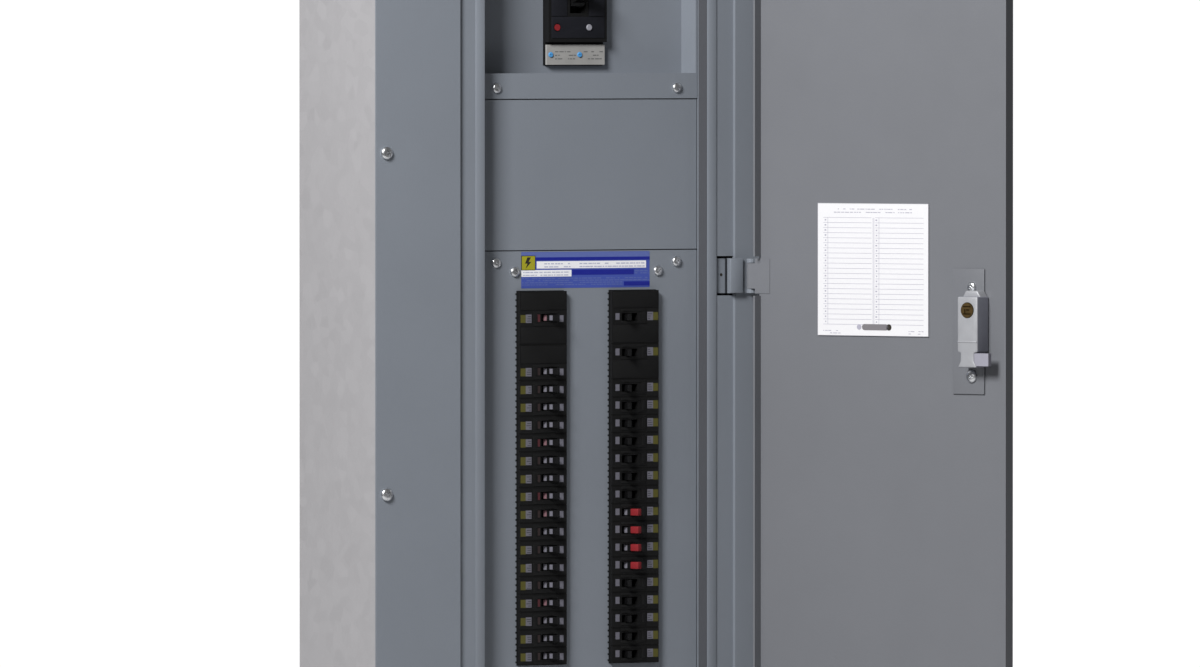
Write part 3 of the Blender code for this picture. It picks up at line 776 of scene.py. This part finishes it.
def make_latch(screw):
    """A painted plate with the cast case on it, its waist at the bolt, and two screws."""
    plate_low, plate_high = closed_box("latch_case")
    lock_low, lock_high = closed_box("lock_cylinder")
    bolt_low, bolt_high = closed_box("latch_bolt")
    lock = (lock_low + lock_high) / 2
    plate_face = plate_low.y + 0.0015
    outline = [(LATCH_PLATE_LEFT, plate_low.z), (LATCH_PLATE_RIGHT, plate_low.z),
               (LATCH_PLATE_RIGHT, plate_high.z), (LATCH_PLATE_LEFT, plate_high.z)]
    plate = extruded("latch_plate", outline, plate_face, plate_low.y, DOOR_PAINT_DARKENED, 0.0005)
    hole = turned("lock_hole", [(0.0078, -0.05), (0.0078, 0.05)], GREY_PAINT)
    hole.location = (lock.x, plate_face, lock.z)
    bpy.context.view_layer.update()
    cut_with(plate, hole)
    near = plate_low.x
    far = -0.0985
    top = 0.0262
    waist = bolt_high.z + 0.0012
    foot = plate_low.z + 0.0265
    outline = [(near, top), (far, top), (far, waist), (far - 0.0037, waist - 0.0010),
               (far - 0.0035, foot + 0.0060), (far - 0.0002, foot), (near + 0.0012, foot),
               (near + 0.0045, foot + 0.0060), (near + 0.0045, waist - 0.0010), (near, waist)]
    body = extruded("latch_body", outline, plate_high.y, plate_face - 0.0005, CAST, 0.0014)
    pocket = boxes("bolt_pocket", [((near - 0.01, bolt_low.y - 0.0004, bolt_low.z - 0.0004),
                                    (far - 0.0018, bolt_high.y + 0.0004, bolt_high.z + 0.0004))], CAST)
    cut_with(body, pocket)
    bore = turned("lock_bore", [(0.0078, -0.05), (0.0078, 0.05)], CAST)
    bore.location = (lock.x, plate_face, lock.z)
    bpy.context.view_layer.update()
    cut_with(body, bore)
    # Faces that don't look straight out get the darker copy of the cast finish: painted shade on the body's
    # sides.
    body.data.materials.append(CAST_SHADED_SIDE)
    for polygon in body.data.polygons:
        polygon.material_index = 0 if polygon.normal.y > 0.4 else 1
    middle = (near + far) / 2
    outline = [(middle - 0.0112, top - 0.001), (middle + 0.0112, top - 0.001),
               (middle + 0.0070, top + 0.0058), (middle - 0.0070, top + 0.0058)]
    ear = extruded("latch_ear", outline, plate_face + 0.0110, plate_face - 0.0005, CAST, 0.0014)
    ridge = boxes("latch_ridge", [((near + 0.0006, plate_high.y - 0.0003, -0.0186),
                                   (far - 0.0006, plate_high.y + 0.0006, -0.0172))], CAST, 0.0003)
    on_door(body)
    on_door(plate)
    on_door(ear)
    on_door(ridge)
    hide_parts("latch_case")
    facing = Matrix.Rotation(pi, 4, "Z")
    for name, height, size in (("latch_screw_top", 0.0355, 1.15), ("latch_screw_foot", -0.0520, 1.4)):
        place = Matrix.Translation((LATCH_SCREW_X, plate_face, height))
        turn = facing @ Matrix.Rotation(radians(33), 4, "Y") @ Matrix.Scale(size, 4)
        piece = copy_of(screw, name, (0, 0, 0))
        piece.matrix_world = place @ turn
        on_door(piece)
    lock_face = lock_high.y
    wards = [(lock.x - 0.0046, lock.x + 0.0046, lock.z + 0.0030, lock.z + 0.0042),
             (lock.x - 0.0046, lock.x + 0.0046, lock.z - 0.0042, lock.z - 0.0030),
             (lock.x - 0.0030, lock.x + 0.0010, lock.z - 0.0004, lock.z + 0.0010),
             (lock.x + 0.0018, lock.x + 0.0030, lock.z - 0.0030, lock.z + 0.0012)]
    inside_print("lock_wards", wards, lock_face, 1.2, BRASS_DARK, "lock_cylinder")
    # Dark boxes on the lock's face for the keyway slot: painted shade in place of a cut slot.
    painted_shade_keyway = [(lock.x - 0.0007, lock.x + 0.0007, lock.z - 0.0042, lock.z + 0.0042),
              (lock.x - 0.0016, lock.x - 0.0005, lock.z - 0.0010, lock.z + 0.0008)]
    front = lock_low.y
    spans = [((x0, front - 0.00005, z0), (x1, front + 0.0004, z1)) for x0, x1, z0, z1 in painted_shade_keyway]
    on_door(boxes("painted_shade_keyway", spans, DARK_INK_AND_SHADE), "lock_cylinder")


# ---------------------------------------------------------------- box and trim

def make_trim_details():
    """The opening's raised rim, a painted-shade strip on its right inner wall, and each hinge's painted-shade
    hole, strap and painted-shadow gap.
    """
    trim_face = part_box("trim_front")[0].y
    plate_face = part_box("branch_deadfront")[0].y
    face = trim_face + 0.004
    front = face - 0.0009
    spans = []
    for side in (-1, 1):
        x0, x1 = sorted((side * (OPENING_X + 0.0001), side * (OPENING_X + RIM_WIDTH)))
        spans.append(((x0, front, -OPENING_Z - RIM_WIDTH), (x1, face + 0.0003, OPENING_Z + RIM_WIDTH)))
        z0, z1 = sorted((side * (OPENING_Z + 0.0001), side * (OPENING_Z + RIM_WIDTH)))
        spans.append(((-OPENING_X, front, z0), (OPENING_X, face + 0.0003, z1)))
    on_panel(boxes("opening_rim", spans, GREY_PAINT, 0.0004))
    # The right inner wall of the opening in a near-black grey: painted shade, standing for the recess's
    # shade.
    spans = [((OPENING_X - 0.0004, face + 0.0006, -OPENING_Z + 0.001),
              (OPENING_X + 0.0002, plate_face - 0.0030, OPENING_Z - 0.001))]
    on_panel(boxes("opening_inner_wall_painted_shade", spans, SHADED_WALL_PAINT, 0.0))
    leaf_face = trim_face + 0.0063
    for name in HINGES:
        leaf_low, leaf_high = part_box(name)
        middle = (leaf_low.z + leaf_high.z) / 2
        # A dark disc for the hole in each hinge leaf: painted shade in place of a hole.
        dot = turned(name + "_hole", [(0.0015, -0.0002), (0.0015, 0.0002)], DARK_INK_AND_SHADE, 16)
        dot.location = (0.1458, leaf_face, middle + 0.001)
        on_panel(dot)
        tall = (leaf_high.z - leaf_low.z) / 2 - 0.0002
        spans = [((0.1497, -0.1534, middle - tall), (0.1645, -0.1505, middle + tall))]
        on_panel(boxes(name + "_strap", spans, GREY_PAINT, 0.0008))
        # A near-black strip in each hinge's gap between leaf and strap: painted shadow.
        spans = [((0.1503, leaf_face - 0.0010, middle - tall), (0.1521, leaf_face + 0.0003, middle + tall))]
        on_panel(boxes(name + "_painted_shadow_gaps", spans, SHADOW_PAINT, 0.0))


def ring_cutter(shape, centre, normal, outer, inner, depth):
    """A tube that cuts a round groove into a face."""
    spin = Vector((0, 0, 1)).rotation_difference(Vector(normal)).to_matrix().to_4x4()
    made = []
    steps = 32
    for radius in (outer, inner):
        for height in (-depth, depth):
            made.append([shape.verts.new(Matrix.Translation(centre) @ spin @ Vector(
                (radius * cos(2 * pi * step / steps), radius * sin(2 * pi * step / steps), height)))
                for step in range(steps)])
    for a, b in ((0, 1), (1, 3), (3, 2), (2, 0)):
        for step in range(steps):
            after = (step + 1) % steps
            shape.faces.new((made[a][step], made[a][after], made[b][after], made[b][step]))


def keyhole(shape, across, height):
    """A keyhole outline that cuts through the back sheet: a round hole under a narrow slot."""
    outline = []
    for step in range(19):
        angle = radians(116) + radians(308) * step / 18
        outline.append((across + 0.007 * cos(angle), height + 0.007 * sin(angle)))
    outline += [(across + 0.0031, height + 0.020), (across - 0.0031, height + 0.020)]
    rings = []
    for depth in (-0.004, 0.004):
        rings.append([shape.verts.new((x, depth, z)) for x, z in outline])
    shape.faces.new(rings[0])
    shape.faces.new(list(reversed(rings[1])))
    for step in range(len(outline)):
        after = (step + 1) % len(outline)
        shape.faces.new((rings[0][step], rings[0][after], rings[1][after], rings[1][step]))


def make_box_details():
    """Knockout grooves in the end walls and keyholes in the back, cut from the box by a hidden cutter."""
    low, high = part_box("enclosure_box")
    shape = bmesh.new()
    for end, normal in ((low.z, (0, 0, -1)), (high.z, (0, 0, 1))):
        for across, size in ((-0.17, 0.022), (-0.085, 0.017), (0.0, 0.030), (0.085, 0.017), (0.17, 0.022)):
            centre = Vector((across, -0.072, end))
            ring_cutter(shape, centre, normal, size, size - 0.0007, 0.0005)
            ring_cutter(shape, centre, normal, size * 0.72, size * 0.72 - 0.0007, 0.0005)
    for across in (-0.19, 0.19):
        for height in (-0.47, 0.47):
            keyhole(shape, across, height)
    bmesh.ops.recalc_face_normals(shape, faces=shape.faces)
    cutter = mesh_object("box_cutter", shape, ZINC)
    box = nodes["enclosure_box"]
    modifier = box.modifiers.new("knockouts", "BOOLEAN")
    modifier.operation = "DIFFERENCE"
    modifier.solver = "EXACT"
    modifier.object = cutter
    cutter.hide_render = True
    split = box.modifiers.new("sharp_corners", "EDGE_SPLIT")
    split.split_angle = radians(30.0)
    even = box.modifiers.new("flat_faces", "WEIGHTED_NORMAL")
    even.keep_sharp = True


# ---------------------------------------------------------------- stage

def make_stage():
    scene = bpy.context.scene
    scene.view_settings.view_transform = "Standard"
    world = bpy.data.worlds.new("soft_studio")
    scene.world = world
    world.use_nodes = True
    tree = world.node_tree
    glow = tree.nodes["Background"]
    glow.inputs["Color"].default_value = (1.0, 1.0, 1.0, 1.0)
    glow.inputs["Strength"].default_value = 0.13
    clear = tree.nodes.new("ShaderNodeBackground")
    clear.inputs["Color"].default_value = (1.0, 1.0, 1.0, 1.0)
    clear.inputs["Strength"].default_value = 1.05
    path = tree.nodes.new("ShaderNodeLightPath")
    mix = tree.nodes.new("ShaderNodeMixShader")
    tree.links.new(path.outputs["Is Camera Ray"], mix.inputs["Fac"])
    tree.links.new(glow.outputs["Background"], mix.inputs[1])
    tree.links.new(clear.outputs["Background"], mix.inputs[2])
    tree.links.new(mix.outputs["Shader"], tree.nodes["World Output"].inputs["Surface"])

    floor_shape = bmesh.new()
    bmesh.ops.create_circle(floor_shape, cap_ends=True, segments=96, radius=1.3)
    floor = mesh_object("pale_floor", floor_shape, printed("pale_floor", (0.62, 0.62, 0.62), 0.7))
    floor.location = (0.0, -0.15, cad_bounds[0].z - 0.002)


def direction(azimuth, elevation):
    """A unit vector out from the object. Azimuth 0 is straight in front, positive to the right."""
    return Vector((sin(azimuth) * cos(elevation), -cos(azimuth) * cos(elevation), sin(elevation)))


def add_light(name, azimuth, elevation, distance, size, power, target):
    """A soft square light that looks at the target, its angles in degrees."""
    offset = direction(radians(azimuth), radians(elevation))
    data = bpy.data.lights.new(name, "AREA")
    data.size = size
    data.energy = power
    lamp = bpy.data.objects.new(name, data)
    lamp.location = target + offset * distance
    lamp.rotation_mode = "QUATERNION"
    lamp.rotation_quaternion = offset.to_track_quat("Z", "Y")
    bpy.context.scene.collection.objects.link(lamp)


def make_camera():
    offset = direction(CAMERA_AZIMUTH, CAMERA_ELEVATION)
    data = bpy.data.cameras.new("camera")
    data.lens = CAMERA_LENS
    data.sensor_width = 36.0
    data.clip_end = 60.0
    camera = bpy.data.objects.new("camera", data)
    camera.location = CAMERA_TARGET + offset * CAMERA_DISTANCE
    camera.rotation_mode = "QUATERNION"
    camera.rotation_quaternion = offset.to_track_quat("Z", "Y")
    bpy.context.scene.collection.objects.link(camera)
    bpy.context.scene.camera = camera


make_camera()
make_stage()
add_light("key_light", -58, 34, 2.6, 0.75, 98, Vector((0.0, -0.15, 0.0)))
add_light("rear_fill", 128, 32, 3.0, 1.6, 60, Vector((0.1, -0.1, 0.0)))
finish_cad()
screw = screw_master()
place_screws(screw)
make_wide_label()
make_breaker_faces()
make_toggle_marks()
make_window_teeth()
make_main_breaker_face()
make_card_print()
make_latch(screw)
make_trim_details()
make_box_details()
bpy.data.objects.remove(screw, do_unlink=True)
